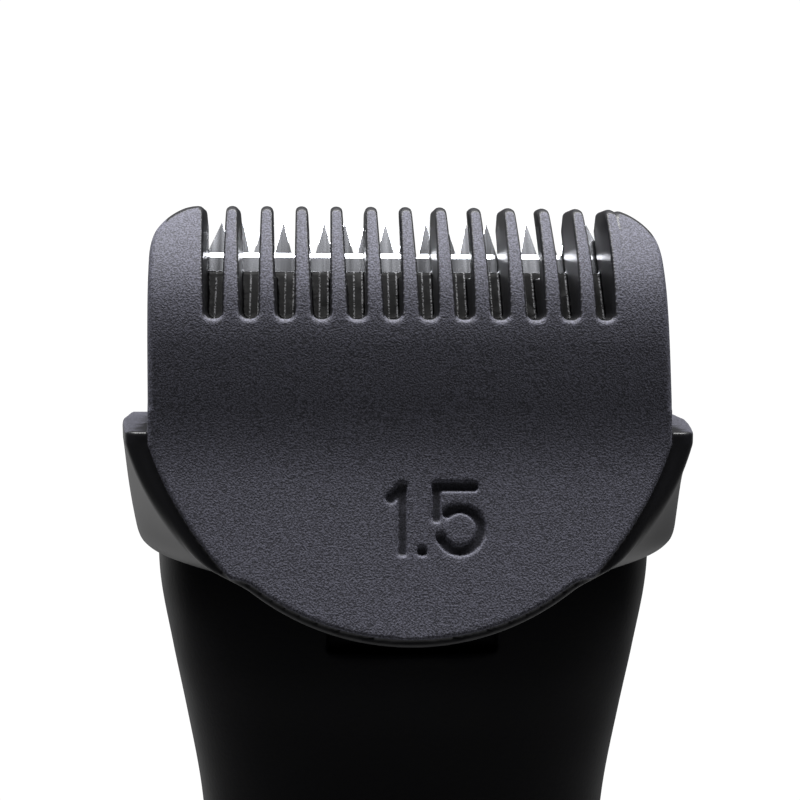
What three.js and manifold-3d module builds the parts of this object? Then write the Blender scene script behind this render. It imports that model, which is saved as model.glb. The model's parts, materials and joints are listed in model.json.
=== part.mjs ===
// Rechargeable hair clipper standing on its base, with a clip-on length comb.
// Millimetres, +Z up. The comb and the cutting edge face -Y, the power button faces +Y.
import * as THREE from 'three';
import * as BufferGeometryUtils from 'three/addons/utils/BufferGeometryUtils.js';
import Module from 'manifold-3d';

const wasm = await Module();
wasm.setup();

// ---------- driving dimensions ----------
const GAP = 0.3; // clearance between neighbouring pieces
const WALL = 2.0; // housing wall
const FAR = 60; // reach of cutting solids
const TOTAL_HEIGHT = 170;

const BASE_TOP = 7; // base cap, then the two housing shells
const SHELL_TOP = 148;
const SPLIT_Y = -1; // parting plane between front and rear shell

const COMB_WALL = 1.7;
const COMB_LIP_Y = -22.8; // foremost line of the comb
const COMB_HALF_WIDTH = 22.4;
const WING_HALF_WIDTH = 25.6;
const WING_TOP = 151.3;
const WING_BOTTOM = 139.0;
const WING_REAR_Y = -2.0;
const SLOT_PITCH = 3.0;
const SLOT_COUNT = 12;
const SLOT_WIDTH_LOW = 1.45;
const SLOT_WIDTH_HIGH = 1.95;
const SLOT_BOTTOM = 160.7;
const FLOOR_TOP = 164.3; // web between the comb teeth

const BLADE_TIP = new THREE.Vector2(-9.2, 168.6); // y, z of the cutting edge
const BLADE_TILT = THREE.MathUtils.degToRad(36); // from upright, top leaning back
const BLADE_LENGTH = 13;
const BLADE_THICKNESS = 1.2;
const BLADE_HALF_WIDTH = 18.6;
const BLADE_PITCH = 1.85;
const BLADE_ROOT = 3.7; // depth of the teeth
const CUTTER_HALF_WIDTH = 14;
const CUTTER_THICKNESS = 0.9;
const CUTTER_LENGTH = 8.4;
const CUTTER_STROKE = 1.1; // each way
const BLADE_SCREW_X = 16.3;
const BLADE_SCREW_S = 10.4; // down the blade from its edge

const MOTOR_Y = -1;
const MOTOR_RADIUS = 10.2;
const MOTOR_BOTTOM = 104;
const MOTOR_TOP = 130;
const SHAFT_RADIUS = 1.0;
const ECCENTRICITY = 1.1;
const PIN_RADIUS = 0.9;
const PIN_TOP = 146;
const FORK_HALF_WIDTH = 3.4; // open pivot: clears the pin at any turn and stroke

const CELL_Y = -3;
const CELL_RADIUS = 7.2;
const CELL_BOTTOM = 18;
const CELL_TOP = 68;

const BOARD_FRONT = 9.6;
const BOARD_REAR = 10.8;
const BUTTON_Z = 98;
const BUTTON_HALF_X = 6;
const BUTTON_HALF_Z = 9;
const BUTTON_FACE_Y = 17.4;
const LIGHT_Z = 80;

const SOCKET_Y = 0.5;
const SOCKET_BORE = 3.5;

// Centres the box of the whole object on the Y axis.
const DEPTH_SHIFT = -(COMB_LIP_Y + BUTTON_FACE_Y) / 2;

// ---------- finishes ----------
const finish = (color, roughness, metalness = 0) => ({ color, roughness, metalness });
const COMB_BLACK = finish(0x2b2b30, 0.55);
const SHELL_BLACK = finish(0x0b0b0d, 0.42);
const TRIM_BLACK = finish(0x17171a, 0.35);
const STEEL = finish(0xb9bbc2, 0.28, 1);
const DARK_STEEL = finish(0x6c6e74, 0.4, 1);
const COPPER = finish(0xb4683a, 0.35, 1);
const NYLON = finish(0xd8d5cb, 0.5);
const FRAME_GREY = finish(0x222226, 0.5);
const CELL_BLUE = finish(0x2f5d8c, 0.4);
const BOARD_GREEN = finish(0x1c5a38, 0.5);
const MAGNET_GREY = finish(0x3a3a3d, 0.6);
const LIGHT_BLUE = finish(0xbfd8ff, 0.2);
const LEAD_RED = finish(0xa01818, 0.5);
const LEAD_BLACK = finish(0x101010, 0.5);

// ---------- solids ----------
function solid(geometry) {
  const bare = geometry.index ? geometry.toNonIndexed() : geometry.clone();
  bare.deleteAttribute('normal');
  bare.deleteAttribute('uv');
  const merged = BufferGeometryUtils.mergeVertices(bare, 1e-4);
  return new wasm.Manifold(new wasm.Mesh({
    numProp: 3,
    vertProperties: new Float32Array(merged.attributes.position.array),
    triVerts: new Uint32Array(merged.index.array),
  }));
}

function geometryOf(body) {
  const mesh = body.getMesh();
  const geometry = new THREE.BufferGeometry();
  geometry.setAttribute('position', new THREE.BufferAttribute(mesh.vertProperties, 3));
  geometry.setIndex(new THREE.BufferAttribute(mesh.triVerts, 1));
  geometry.computeVertexNormals();
  return geometry;
}

const join = (bodies) => bodies.reduce((whole, body) => whole.add(body));
const cut = (body, tools) => tools.reduce((rest, tool) => rest.subtract(tool), body);

function box(low, high) {
  const size = high.map((value, i) => value - low[i]);
  const geometry = new THREE.BoxGeometry(...size);
  geometry.translate(...low.map((value, i) => value + size[i] / 2));
  return solid(geometry);
}

// Upright cylinder from z0 to z1.
function post(x, y, radius, z0, z1, sides = 24) {
  const geometry = new THREE.CylinderGeometry(radius, radius, z1 - z0, sides);
  geometry.rotateX(Math.PI / 2);
  geometry.translate(x, y, (z0 + z1) / 2);
  return solid(geometry);
}

// Cylinder along Y from y0 to y1.
function rod(x, z, radius, y0, y1, sides = 16) {
  const geometry = new THREE.CylinderGeometry(radius, radius, y1 - y0, sides);
  geometry.translate(x, (y0 + y1) / 2, z);
  return solid(geometry);
}

// Outline in the YZ plane, drawn out along X.
function sideProfile(points, x0, x1) {
  const geometry = new THREE.ExtrudeGeometry(new THREE.Shape(points), {
    depth: x1 - x0, bevelEnabled: false, curveSegments: 8,
  });
  geometry.applyMatrix4(new THREE.Matrix4().set(0, 0, 1, x0, 1, 0, 0, 0, 0, 1, 0, 0, 0, 0, 0, 1));
  return solid(geometry);
}

// Outline in the XZ plane, drawn out along Y.
function frontProfile(shape, y0, y1, segments = 8) {
  const geometry = new THREE.ExtrudeGeometry(shape, {
    depth: y1 - y0, bevelEnabled: false, curveSegments: segments,
  });
  geometry.rotateX(Math.PI / 2);
  geometry.translate(0, y1, 0);
  return solid(geometry);
}

function roundedShape(halfX, halfZ, radius, centreX, centreZ) {
  const shape = new THREE.Shape();
  const turns = [[1, 1, 0], [-1, 1, 1], [-1, -1, 2], [1, -1, 3]];
  turns.forEach(([sx, sz, quarter]) => {
    const start = quarter * Math.PI / 2;
    shape.absarc(centreX + sx * (halfX - radius), centreZ + sz * (halfZ - radius), radius,
      start, start + Math.PI / 2, false);
  });
  return shape;
}

// Stack of outlines with equal point counts, each [z, [[x, y], ...]], closed top and bottom.
function loft(levels) {
  const count = levels[0][1].length;
  const positions = levels.flatMap(([z, ring]) => ring.flatMap(([x, y]) => [x, y, z]));
  const index = [];
  for (let level = 0; level + 1 < levels.length; level += 1) {
    for (let i = 0; i < count; i += 1) {
      const a = level * count + i;
      const b = level * count + (i + 1) % count;
      index.push(a, b, b + count, a, b + count, a + count);
    }
  }
  const flat = (ring) => ring.map(([x, y]) => new THREE.Vector2(x, y));
  const top = (levels.length - 1) * count;
  THREE.ShapeUtils.triangulateShape(flat(levels[0][1]), [])
    .forEach(([a, b, c]) => index.push(a, c, b));
  THREE.ShapeUtils.triangulateShape(flat(levels[levels.length - 1][1]), [])
    .forEach(([a, b, c]) => index.push(top + a, top + b, top + c));
  const geometry = new THREE.BufferGeometry();
  geometry.setAttribute('position', new THREE.Float32BufferAttribute(positions, 3));
  geometry.setIndex(index);
  return solid(geometry);
}

const clipper = new THREE.Group();
clipper.position.y = DEPTH_SHIFT;

function add(name, body, look) {
  const mesh = new THREE.Mesh(geometryOf(body), new THREE.MeshStandardMaterial(look));
  mesh.name = name;
  clipper.add(mesh);
}

// ---------- housing ----------
// Height, half width, front depth and rear depth of the grip.
const GRIP = [
  [0, 15.6, 11.8, 12.6],
  [2, 16.6, 12.8, 13.6],
  [30, 18.6, 14.6, 15.8],
  [60, 19.4, 15.4, 16.6],
  [90, 19.3, 15.6, 16.6],
  [117, 19.8, 15.3, 15.6],
  [124, 21.1, 16.0, 15.3],
  [130, 22.3, 16.9, 15.1],
  [137, 23.5, 17.4, 14.9],
  [142, 23.6, 17.5, 14.6],
  [148, 23.2, 17.2, 14.0],
  [150, 22.8, 16.8, 13.6],
];
const GRIP_POWER = 2.6; // squareness of the section
const GRIP_SIDES = 32;

function gripRing(halfX, front, rear, inset) {
  const ring = [];
  for (let i = 0; i < GRIP_SIDES; i += 1) {
    const turn = (i / GRIP_SIDES) * 2 * Math.PI;
    const reach = (value) => Math.sign(value) * Math.abs(value) ** (2 / GRIP_POWER);
    const depth = Math.sin(turn) < 0 ? front : rear;
    ring.push([(halfX - inset) * reach(Math.cos(turn)), (depth - inset) * reach(Math.sin(turn))]);
  }
  return ring;
}

function grip(inset) {
  return loft(GRIP.map(([z, halfX, front, rear]) => [z, gripRing(halfX, front, rear, inset)]));
}

const gripSolid = grip(0);
const gripHollow = grip(WALL);
const shellBand = box([-FAR, -FAR, BASE_TOP + GAP], [FAR, FAR, SHELL_TOP]);
const shell = gripSolid.subtract(gripHollow).intersect(shellBand);
const frontSide = box([-FAR, -FAR, 0], [FAR, SPLIT_Y - GAP / 2, TOTAL_HEIGHT]);
const rearSide = box([-FAR, SPLIT_Y + GAP / 2, 0], [FAR, FAR, TOTAL_HEIGHT]);

const HOUSING_SCREWS = [[-12.4, 26], [12.4, 26], [-16.6, 138], [16.6, 138]];
const SCREW_HEAD_Y = 9.5; // underside of the housing screw heads
const SCREW_HOLE = 1.4;

const bossesAt = (radius, y0, y1) => join(
  HOUSING_SCREWS.map(([x, z]) => rod(x, z, radius, y0, y1)),
).intersect(gripSolid);

// Shallow thumb recess under the comb's lip.
const thumbRecess = box([-7.4, -FAR, 131.9], [7.4, -16.0, 138]);

const frontCover = cut(
  shell.add(bossesAt(3.0, -FAR, FAR)).intersect(frontSide),
  [thumbRecess, ...HOUSING_SCREWS.map(([x, z]) => rod(x, z, SCREW_HOLE, -10, FAR))],
);
add('front_cover', frontCover, SHELL_BLACK);

const buttonHole = frontProfile(
  roundedShape(BUTTON_HALF_X + GAP, BUTTON_HALF_Z + GAP, 3, 0, BUTTON_Z), 11.8, FAR,
);
const lightHole = rod(0, LIGHT_Z, 1.5, 11, FAR);
const rearCover = cut(
  shell.add(bossesAt(3.4, -FAR, FAR)).intersect(rearSide),
  [
    buttonHole,
    lightHole,
    ...HOUSING_SCREWS.map(([x, z]) => rod(x, z, SCREW_HOLE, -FAR, FAR)),
    ...HOUSING_SCREWS.map(([x, z]) => rod(x, z, 2.5, SCREW_HEAD_Y - GAP, FAR)),
  ],
);
add('rear_cover', rearCover, SHELL_BLACK);

const SCREW_NAMES = ['lower_left', 'lower_right', 'upper_left', 'upper_right'];
HOUSING_SCREWS.forEach(([x, z], i) => {
  const head = rod(x, z, 2.1, SCREW_HEAD_Y, SCREW_HEAD_Y + 1.6);
  const shank = rod(x, z, 1.1, -8, SCREW_HEAD_Y + 0.2);
  const cross = [
    box([x - 1.2, SCREW_HEAD_Y + 0.8, z - 0.25], [x + 1.2, FAR, z + 0.25]),
    box([x - 0.25, SCREW_HEAD_Y + 0.8, z - 1.2], [x + 0.25, FAR, z + 1.2]),
  ];
  add(`housing_screw_${SCREW_NAMES[i]}`, cut(head.add(shank), cross), DARK_STEEL);
});

const capBand = box([-FAR, -FAR, 0], [FAR, FAR, BASE_TOP]);
const capSkirt = gripHollow.intersect(box([-FAR, -FAR, 2.5], [FAR, FAR, FAR]));
const socketHole = post(0, SOCKET_Y, 5.4, -1, FAR);
add('base_cap', cut(gripSolid.intersect(capBand), [capSkirt, socketHole]), TRIM_BLACK);

// Round charging inlet, open downwards.
const socketProfile = [[SOCKET_BORE, 0.8], [5.1, 0.8], [5.1, 11.5], [0, 11.5], [0, 10], [SOCKET_BORE, 10]];
const socketLathe = new THREE.LatheGeometry(
  [...socketProfile, socketProfile[0]].map(([r, z]) => new THREE.Vector2(r, z)), 32,
);
socketLathe.rotateX(Math.PI / 2);
socketLathe.translate(0, SOCKET_Y, 0);
add('charging_socket', solid(socketLathe), TRIM_BLACK);

// ---------- power button, switch and board ----------
const buttonCap = frontProfile(
  roundedShape(BUTTON_HALF_X, BUTTON_HALF_Z, 2.7, 0, BUTTON_Z), 13.2, BUTTON_FACE_Y,
);
const buttonFlange = frontProfile(
  roundedShape(BUTTON_HALF_X + 1.3, BUTTON_HALF_Z + 1.3, 3, 0, BUTTON_Z), 12.7, 13.3,
);
add('power_button', buttonCap.add(buttonFlange), TRIM_BLACK);

add('circuit_board', box([-8, BOARD_FRONT, 72], [8, BOARD_REAR, 118]), BOARD_GREEN);
const switchBody = box([-3, BOARD_REAR + GAP, BUTTON_Z - 3], [3, 12.1, BUTTON_Z + 3]);
add('switch_body', switchBody.subtract(rod(0, BUTTON_Z, 1.7, 10, 13)), DARK_STEEL);
add('switch_plunger', rod(0, BUTTON_Z, 1.4, 11.7, 12.4), TRIM_BLACK);
add('status_light', box([-1, BOARD_REAR + GAP, LIGHT_Z - 1], [1, 11.7, LIGHT_Z + 1]), LIGHT_BLUE);
add('light_pipe', rod(0, LIGHT_Z, 1.2, 12.0, 16.5), LIGHT_BLUE);

// ---------- battery ----------
const cell = post(0, CELL_Y, CELL_RADIUS, CELL_BOTTOM, CELL_TOP - 1.5, 40);
add('battery_cell', cell.add(post(0, CELL_Y, 2.8, CELL_TOP - 2, CELL_TOP)), CELL_BLUE);
const tray = post(0, CELL_Y, 8.8, CELL_BOTTOM - 2.4, CELL_TOP + 2.4, 40);
const trayHollow = post(0, CELL_Y, CELL_RADIUS + GAP, CELL_BOTTOM - 1.2, CELL_TOP + 1.2, 40);
const trayMouth = box([-FAR, -FAR, 0], [FAR, CELL_Y - 0.5, FAR * 2]);
add('battery_tray', cut(tray, [trayHollow, trayMouth]), NYLON);
add('battery_tab_lower', box([-3, CELL_Y, CELL_BOTTOM - 0.8], [3, CELL_Y + 5, CELL_BOTTOM - 0.35]), STEEL);
add('battery_tab_upper', box([-3, CELL_Y, CELL_TOP + 0.35], [3, CELL_Y + 5, CELL_TOP + 0.8]), STEEL);

// ---------- motor ----------
const motorAxis = (radius, z0, z1, sides) => post(0, MOTOR_Y, radius, z0, z1, sides);
const can = cut(motorAxis(MOTOR_RADIUS, MOTOR_BOTTOM, MOTOR_TOP, 40), [
  motorAxis(MOTOR_RADIUS - 1, MOTOR_BOTTOM - 1, MOTOR_TOP - 1, 40),
  motorAxis(2.6, MOTOR_TOP - 2, MOTOR_TOP + 1),
]);
add('motor_can', can, STEEL);
const BEARING_BORE = SHAFT_RADIUS + 0.08;
add('motor_bearing', motorAxis(2.3, MOTOR_TOP - 1.6, MOTOR_TOP + 1).subtract(
  motorAxis(BEARING_BORE, 0, TOTAL_HEIGHT)), COPPER);
add('motor_end_cap', motorAxis(MOTOR_RADIUS, 101.5, MOTOR_BOTTOM - GAP).subtract(
  motorAxis(SHAFT_RADIUS + GAP, 0, TOTAL_HEIGHT)), TRIM_BLACK);
[['left', -1], ['right', 1]].forEach(([side, sign]) => {
  const ring = motorAxis(8.9, 108, 126, 40).subtract(motorAxis(7.6, 0, TOTAL_HEIGHT, 40));
  const half = box([Math.min(sign * 3.5, sign * FAR), -FAR, 0], [Math.max(sign * 3.5, sign * FAR), FAR, 200]);
  add(`motor_magnet_${side}`, ring.intersect(half), MAGNET_GREY);
});

const POLES = 3;
const poleSlots = Array.from({ length: POLES }, (_, i) => {
  const slot = new THREE.BoxGeometry(1.6, 5, 30);
  slot.translate(0, 5.5, 117);
  slot.rotateZ((i * 2 * Math.PI) / POLES);
  slot.translate(0, MOTOR_Y, 0);
  return solid(slot);
});
const shaftBore = motorAxis(SHAFT_RADIUS + GAP, 0, TOTAL_HEIGHT);
add('motor_armature', cut(motorAxis(6.9, 109, 125), [...poleSlots, shaftBore]), COPPER);
add('motor_commutator', motorAxis(2.4, 104.5, 108.5).subtract(shaftBore), COPPER);
add('motor_shaft', motorAxis(SHAFT_RADIUS, 100.5, 134.6, 20), STEEL);

const camHub = motorAxis(3.6, 132.8, 138).subtract(motorAxis(SHAFT_RADIUS + GAP, 130, 135));
const pin = post(ECCENTRICITY, MOTOR_Y, PIN_RADIUS, 137.5, PIN_TOP, 20);
add('eccentric_cam', camHub.add(pin), NYLON);

const mountPlate = box([-15, -12, MOTOR_TOP + GAP], [15, 10.5, MOTOR_TOP + 2.2]);
add('motor_mount', cut(mountPlate.intersect(grip(WALL + GAP)), [
  motorAxis(3, 0, TOTAL_HEIGHT),
]), FRAME_GREY);

// Internal leads, each a tube along a hand-laid curve.
function lead(name, points, look) {
  const path = new THREE.CatmullRomCurve3(points.map(([x, y, z]) => new THREE.Vector3(x, y, z)));
  const section = new THREE.Shape().absarc(0, 0, 0.55, 0, 2 * Math.PI, false);
  const tube = new THREE.ExtrudeGeometry(section, {
    extrudePath: path, steps: 12, bevelEnabled: false, curveSegments: 2,
  });
  add(name, solid(tube), look);
}
lead('motor_lead_positive', [[5, 8.6, 94], [5, 5, 95], [5, 1, 98], [5, -1, 100.9]], LEAD_RED);
lead('motor_lead_negative', [[-5, 8.6, 94], [-5, 5, 95], [-5, 1, 98], [-5, -1, 100.9]], LEAD_BLACK);
lead('battery_lead_positive', [[4.5, 9, 77], [4.5, 6, 78], [4.5, 2, 76], [4.5, 0, 71.2]], LEAD_RED);
lead('battery_lead_negative', [[4, 3, 13.6], [6.4, 8.6, 19], [6.2, 8.6, 45], [6.2, 8.6, 76]], LEAD_BLACK);

// ---------- blade set ----------
// Blade frame: s runs down the blade from its edge, n points back into the head.
const DOWN = new THREE.Vector2(-Math.sin(BLADE_TILT), -Math.cos(BLADE_TILT));
const BACK = new THREE.Vector2(Math.cos(BLADE_TILT), -Math.sin(BLADE_TILT));
const onBlade = (s, n) => BLADE_TIP.clone().addScaledVector(DOWN, s).addScaledVector(BACK, n);

const bladeMatrix = new THREE.Matrix4().set(
  1, 0, 0, 0,
  0, DOWN.x, BACK.x, BLADE_TIP.x,
  0, DOWN.y, BACK.y, BLADE_TIP.y,
  0, 0, 0, 1,
);

// A solid drawn flat as (x, s) and n, laid onto the tilted blade.
function onHead(geometry) {
  const placed = geometry.clone().applyMatrix4(bladeMatrix);
  return solid(placed);
}

function toothedPlate(halfWidth, teeth, tipWidth, edge, root, length, n0, n1) {
  const shape = new THREE.Shape();
  const outer = ((teeth - 1) / 2) * BLADE_PITCH;
  shape.moveTo(halfWidth, length);
  shape.lineTo(halfWidth, root);
  shape.lineTo(outer + 0.45, edge);
  for (let i = teeth - 1; i >= 0; i -= 1) {
    const x = (i - (teeth - 1) / 2) * BLADE_PITCH;
    if (i < teeth - 1) shape.lineTo(x + tipWidth / 2, edge);
    if (i > 0) {
      shape.lineTo(x - tipWidth / 2, edge);
      shape.lineTo(x - BLADE_PITCH / 2 + 0.16, root);
      shape.lineTo(x - BLADE_PITCH / 2 - 0.16, root);
    }
  }
  shape.lineTo(-outer - 0.45, edge);
  shape.lineTo(-halfWidth, root);
  shape.lineTo(-halfWidth, length);
  const plate = new THREE.ExtrudeGeometry(shape, { depth: n1 - n0, bevelEnabled: false });
  plate.translate(0, 0, n0);
  return onHead(plate);
}

// Round bar square to the blade, from depth n0 to n1.
function bladeRod(x, s, radius, n0, n1) {
  const bar = new THREE.CylinderGeometry(radius, radius, n1 - n0, 24);
  bar.rotateX(Math.PI / 2);
  bar.translate(x, s, (n0 + n1) / 2);
  return onHead(bar);
}

function bladeBox(halfX, s0, s1, n0, n1) {
  const block = new THREE.BoxGeometry(halfX * 2, s1 - s0, n1 - n0);
  block.translate(0, (s0 + s1) / 2, (n0 + n1) / 2);
  return onHead(block);
}

const fixedTeeth = 19;
const screwSides = [['left', -1], ['right', 1]];
add('fixed_blade', cut(
  toothedPlate(BLADE_HALF_WIDTH, fixedTeeth, 0.14, 0, BLADE_ROOT, BLADE_LENGTH, 0, BLADE_THICKNESS),
  screwSides.map(([, sign]) => bladeRod(sign * BLADE_SCREW_X, BLADE_SCREW_S, 1.75, -1, 3)),
), STEEL);
const CUTTER_FRONT = BLADE_THICKNESS + 0.05;
const CUTTER_BACK = CUTTER_FRONT + CUTTER_THICKNESS;
add('moving_blade', toothedPlate(CUTTER_HALF_WIDTH, 15, 0.2, 0.7, 3.9, CUTTER_LENGTH,
  CUTTER_FRONT, CUTTER_BACK), STEEL);

// Carriage: clipped behind the moving blade, with a fork over the eccentric pin.
const carriageOutline = [
  onBlade(5.6, CUTTER_BACK + GAP),
  onBlade(CUTTER_LENGTH, CUTTER_BACK + GAP),
  onBlade(CUTTER_LENGTH, CUTTER_BACK + 2.4),
  new THREE.Vector2(-6.6, 152),
  new THREE.Vector2(-6.6, 140),
  new THREE.Vector2(4.4, 140),
  new THREE.Vector2(4.4, 150.5),
  onBlade(5.6, CUTTER_BACK + 4.6),
];
const forkSlot = box([-FORK_HALF_WIDTH, MOTOR_Y - 3.4, 139], [FORK_HALF_WIDTH, MOTOR_Y + 3.4, 147]);
const CARRIAGE_HALF_WIDTH = 7;
add('cutter_carriage', sideProfile(carriageOutline, -CARRIAGE_HALF_WIDTH, CARRIAGE_HALF_WIDTH)
  .subtract(forkSlot), NYLON);
add('blade_spring', bladeBox(12.5, 2.6, 5.2, CUTTER_BACK + GAP, CUTTER_BACK + GAP + 0.5), DARK_STEEL);

screwSides.forEach(([side, sign]) => {
  const x = sign * BLADE_SCREW_X;
  const head = bladeRod(x, BLADE_SCREW_S, 1.45, 0.1, 1.3);
  const shank = bladeRod(x, BLADE_SCREW_S, 0.9, 1.2, 7.0);
  const slot = new THREE.BoxGeometry(4, 0.5, 1);
  slot.translate(x, BLADE_SCREW_S, 0.1);
  add(`blade_screw_${side}`, head.add(shank).subtract(onHead(slot)), DARK_STEEL);
});

// Head frame: the nose that carries the blade set on top of the housing.
const HEAD_HALF_WIDTH = 20.6;
const HEAD_FLOOR = SHELL_TOP + GAP;
const seat = BLADE_THICKNESS + GAP;
const frameOutline = [
  new THREE.Vector2(-15.6, HEAD_FLOOR),
  new THREE.Vector2(-16.2, 154.5),
  onBlade(BLADE_LENGTH - 0.3, seat),
  onBlade(1.4, seat),
  onBlade(1.2, seat + 1.2),
  new THREE.Vector2(-3.2, 163.6),
  new THREE.Vector2(3.5, 158.6),
  new THREE.Vector2(9.5, 152.6),
  new THREE.Vector2(12.4, HEAD_FLOOR),
];
const cutterBay = bladeBox(CUTTER_HALF_WIDTH + CUTTER_STROKE + 0.5, -2, CUTTER_LENGTH + 0.6, 0, 3.2);
const carriageBay = sideProfile([
  onBlade(4.9, 1),
  onBlade(CUTTER_LENGTH + 0.6, 1),
  onBlade(CUTTER_LENGTH + 0.6, CUTTER_BACK + 2.6),
  new THREE.Vector2(-7.2, 151),
  new THREE.Vector2(-7.2, 140),
  new THREE.Vector2(5.0, 140),
  new THREE.Vector2(5.0, 151),
  onBlade(4.9, CUTTER_BACK + 5.2),
], -CARRIAGE_HALF_WIDTH - CUTTER_STROKE - 0.5, CARRIAGE_HALF_WIDTH + CUTTER_STROKE + 0.5);
const headPlan = loft([
  [HEAD_FLOOR - 1, gripRing(23.2, 17.2, 14.0, 0)],
  [TOTAL_HEIGHT, gripRing(22.4, 17.2, 13.4, 0)],
]);
const headWedge = sideProfile(frameOutline, -HEAD_HALF_WIDTH, HEAD_HALF_WIDTH);
add('head_frame', cut(headWedge.intersect(headPlan), [
  cutterBay,
  carriageBay,
  ...screwSides.map(([, sign]) => bladeRod(sign * BLADE_SCREW_X, BLADE_SCREW_S, 1.2, 0, 8)),
]), FRAME_GREY);

// ---------- comb ----------
// Front line of the comb, height and y, from the lip up to the tooth tips.
const COMB_FRONT = [
  [131.5, COMB_LIP_Y - 0.35],
  [133, COMB_LIP_Y],
  [140, -22.0],
  [147, -21.2],
  [151, -20.9],
  [157, -20.9],
  [SLOT_BOTTOM, -20.6],
  [163.5, -19.9],
  [166, -18.5],
  [168, -16.8],
  [TOTAL_HEIGHT, -14.7],
  [TOTAL_HEIGHT + 1, -13.6],
];
const CROWN = 0.8; // fall of the front towards its corners
const CORNER = 4.5;

function combRing(z, halfX, frontY, rearY, radius) {
  const flat = halfX - radius;
  const ring = [];
  for (let i = 0; i <= 8; i += 1) {
    const x = -flat + (i / 4) * flat;
    ring.push([x, frontY + CROWN * (x / flat) ** 2]);
  }
  for (let i = 1; i <= 5; i += 1) {
    const turn = (i / 5) * (Math.PI / 2);
    ring.push([flat + radius * Math.sin(turn), frontY + CROWN + radius * (1 - Math.cos(turn))]);
  }
  ring.push([halfX, rearY]);
  ring.push([-halfX, rearY]);
  for (let i = 5; i >= 1; i -= 1) {
    const turn = (i / 5) * (Math.PI / 2);
    ring.push([-flat - radius * Math.sin(turn), frontY + CROWN + radius * (1 - Math.cos(turn))]);
  }
  return [z, ring];
}

function combBlock(halfWidthAt, inset, rearY) {
  return loft(COMB_FRONT.map(([z, y]) => combRing(
    z, halfWidthAt(z) - inset, y + inset, rearY, CORNER - inset * 0.6,
  )));
}

// Wings taper inwards below their widest line.
function wingHalfWidth(z) {
  const drop = Math.max(0, 149 - z);
  return Math.min(WING_HALF_WIDTH, WING_HALF_WIDTH + 0.05 - drop * 0.11);
}

const body = combBlock(() => COMB_HALF_WIDTH, 0, 4);
const skirt = combBlock(wingHalfWidth, 0, WING_REAR_Y)
  .intersect(box([-FAR, -FAR, 120], [FAR, FAR, WING_TOP]));

const LIP_HALF_WIDTH = 14.9;
const LIP_BOTTOM = 133.4;
const LIP_RISE = WING_BOTTOM - LIP_BOTTOM;
const LIP_RADIUS = (LIP_HALF_WIDTH ** 2 + LIP_RISE ** 2) / (2 * LIP_RISE);
const lipHalfAngle = Math.asin(LIP_HALF_WIDTH / LIP_RADIUS);
const frontOutline = new THREE.Shape();
frontOutline.moveTo(WING_HALF_WIDTH + 2, 180);
frontOutline.lineTo(-WING_HALF_WIDTH - 2, 180);
frontOutline.lineTo(-WING_HALF_WIDTH - 2, WING_BOTTOM + 2.2);
frontOutline.lineTo(-WING_HALF_WIDTH + 1.6, WING_BOTTOM + 0.4);
frontOutline.lineTo(-LIP_HALF_WIDTH - 3, WING_BOTTOM);
frontOutline.absarc(0, LIP_BOTTOM + LIP_RADIUS, LIP_RADIUS,
  -Math.PI / 2 - lipHalfAngle, -Math.PI / 2 + lipHalfAngle, false);
frontOutline.lineTo(LIP_HALF_WIDTH + 3, WING_BOTTOM);
frontOutline.lineTo(WING_HALF_WIDTH - 1.6, WING_BOTTOM + 0.4);
frontOutline.lineTo(WING_HALF_WIDTH + 2, WING_BOTTOM + 2.2);

const lobeOutline = new THREE.Shape();
const LOBE_RADIUS = 4.6;
lobeOutline.moveTo(-FAR, 100);
lobeOutline.lineTo(FAR, 100);
lobeOutline.lineTo(FAR, WING_TOP + 0.01);
lobeOutline.lineTo(COMB_HALF_WIDTH, WING_TOP + 0.01);
lobeOutline.absarc(COMB_HALF_WIDTH - LOBE_RADIUS, TOTAL_HEIGHT - LOBE_RADIUS, LOBE_RADIUS,
  0, Math.PI / 2, false);
lobeOutline.absarc(-COMB_HALF_WIDTH + LOBE_RADIUS, TOTAL_HEIGHT - LOBE_RADIUS, LOBE_RADIUS,
  Math.PI / 2, Math.PI, false);
lobeOutline.lineTo(-COMB_HALF_WIDTH, WING_TOP + 0.01);
lobeOutline.lineTo(-FAR, WING_TOP + 0.01);

// Side view limits of the comb: everything behind this line is open.
const bladeFace = (s) => onBlade(s, -GAP);
const combSide = sideProfile([
  new THREE.Vector2(-FAR, 180),
  new THREE.Vector2(-FAR, 120),
  new THREE.Vector2(WING_REAR_Y - 5, 120),
  new THREE.Vector2(WING_REAR_Y - 3, WING_BOTTOM + 1),
  new THREE.Vector2(WING_REAR_Y, WING_BOTTOM + 5),
  new THREE.Vector2(WING_REAR_Y, 157),
  new THREE.Vector2(-9.0, TOTAL_HEIGHT),
  new THREE.Vector2(-9.0, 180),
], -FAR, FAR);

// Hollow for the head: behind the blade face above, behind the front wall below.
const HEAD_CLEAR = HEAD_HALF_WIDTH + 0.6;
const upperHollow = sideProfile([
  new THREE.Vector2(FAR, 180),
  bladeFace(-14),
  bladeFace(BLADE_LENGTH),
  new THREE.Vector2(-18.0, 155.5),
  new THREE.Vector2(-18.0, SHELL_TOP),
  new THREE.Vector2(FAR, SHELL_TOP),
], -HEAD_CLEAR, HEAD_CLEAR);
const lowerHollow = combBlock((z) => Math.min(wingHalfWidth(z), 25.5), COMB_WALL, FAR)
  .intersect(box([-FAR, -FAR, 120], [FAR, FAR, WING_TOP - COMB_WALL]));
const handleSweep = loft([
  [100, gripRing(23.9, 17.9, 30, 0)],
  [WING_TOP - COMB_WALL, gripRing(23.9, 17.9, 30, 0)],
]);

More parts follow.
